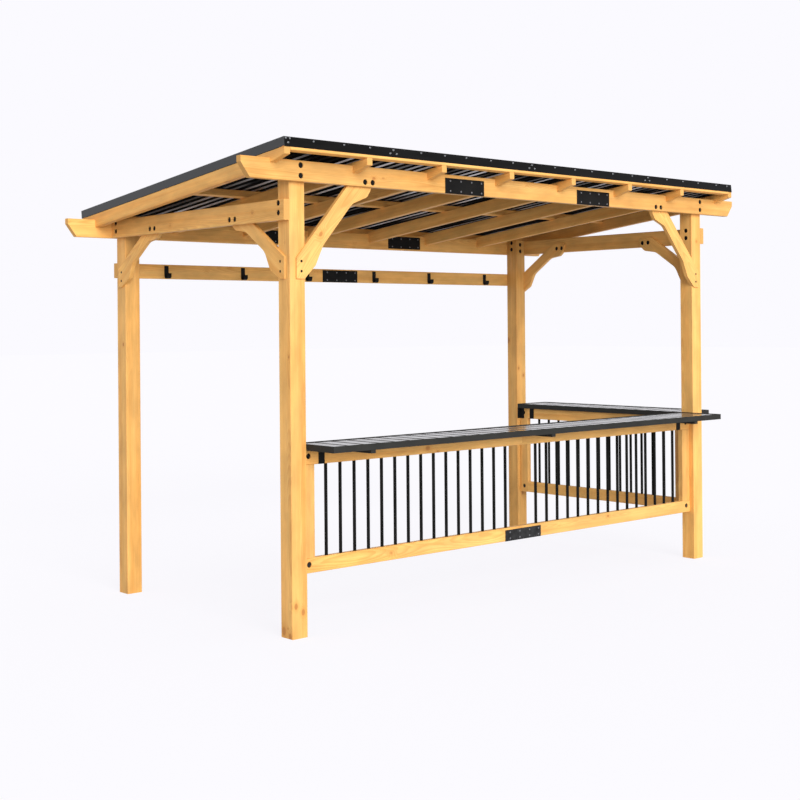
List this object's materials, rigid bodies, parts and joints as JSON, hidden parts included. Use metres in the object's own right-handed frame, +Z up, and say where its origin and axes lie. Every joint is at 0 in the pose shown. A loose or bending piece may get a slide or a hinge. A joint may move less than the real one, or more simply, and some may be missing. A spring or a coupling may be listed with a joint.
{
  "type": "grill gazebo",
  "caption": "Lean-to timber grill gazebo with a ribbed metal roof on notched rafters, curved knee braces, bar counters with baluster railings on two sides and a tool hook rail.",
  "frame": {"origin": "on the ground, below the middle of the whole gazebo's box", "axes": "+X along the front to the right, seen from in front; +Y from the tall front to the back; +Z up"},
  "size_m": [4.67, 2.3782, 2.8517],
  "materials": {
    "timber": "oiled",
    "black_steel": "satin",
    "grey_steel": "satin",
    "slat_steel": "gloss",
    "screw_steel": "satin"
  },
  "bodies": {
    "root": {"post_front_left": "timber", "post_front_right": "timber", "post_rear_left": "timber", "post_rear_right": "timber", "front_beam_left": "timber", "front_beam_middle": "timber", "front_beam_right": "timber", "rear_beam_left": "timber", "rear_beam_middle": "timber", "rear_beam_right": "timber", "side_beam_left": "timber", "side_beam_right": "timber", "front_brace_left": "timber", "front_brace_right": "timber", "side_brace_front_left": "timber", "side_brace_rear_left": "timber", "side_brace_front_right": "timber", "side_brace_rear_right": "timber", "rafter_1": "timber", "rafter_2": "timber", "rafter_3": "timber", "rafter_4": "timber", "rafter_5": "timber", "rafter_6": "timber", "rafter_7": "timber", "rafter_8": "timber", "purlin_front": "timber", "purlin_middle": "timber", "purlin_rear": "timber", "roof_sheet_1": "black_steel", "roof_sheet_2": "black_steel", "roof_sheet_3": "black_steel", "roof_sheet_4": "black_steel", "fascia_1": "black_steel", "fascia_2": "black_steel", "fascia_3": "black_steel", "fascia_4": "black_steel", "gable_trim_left": "grey_steel", "gable_trim_right": "grey_steel", "hook_rail_left": "timber", "hook_rail_right": "timber", "tool_hooks": "black_steel", "splice_plates": "black_steel", "bar_studs": "timber", "front_top_rail_left": "timber", "front_top_rail_right": "timber", "front_bottom_rail_left": "timber", "front_bottom_rail_right": "timber", "side_top_rail": "timber", "side_bottom_rail": "timber", "front_balusters": "black_steel", "side_balusters": "black_steel", "front_counter_frame": "grey_steel", "front_counter_slats": "slat_steel", "side_counter_frame": "grey_steel", "side_counter_slats": "slat_steel", "counter_saddles": "black_steel", "rail_angles": "black_steel", "frame_bolts": "black_steel", "brace_screws": "screw_steel"}
  },
  "joints": []
}
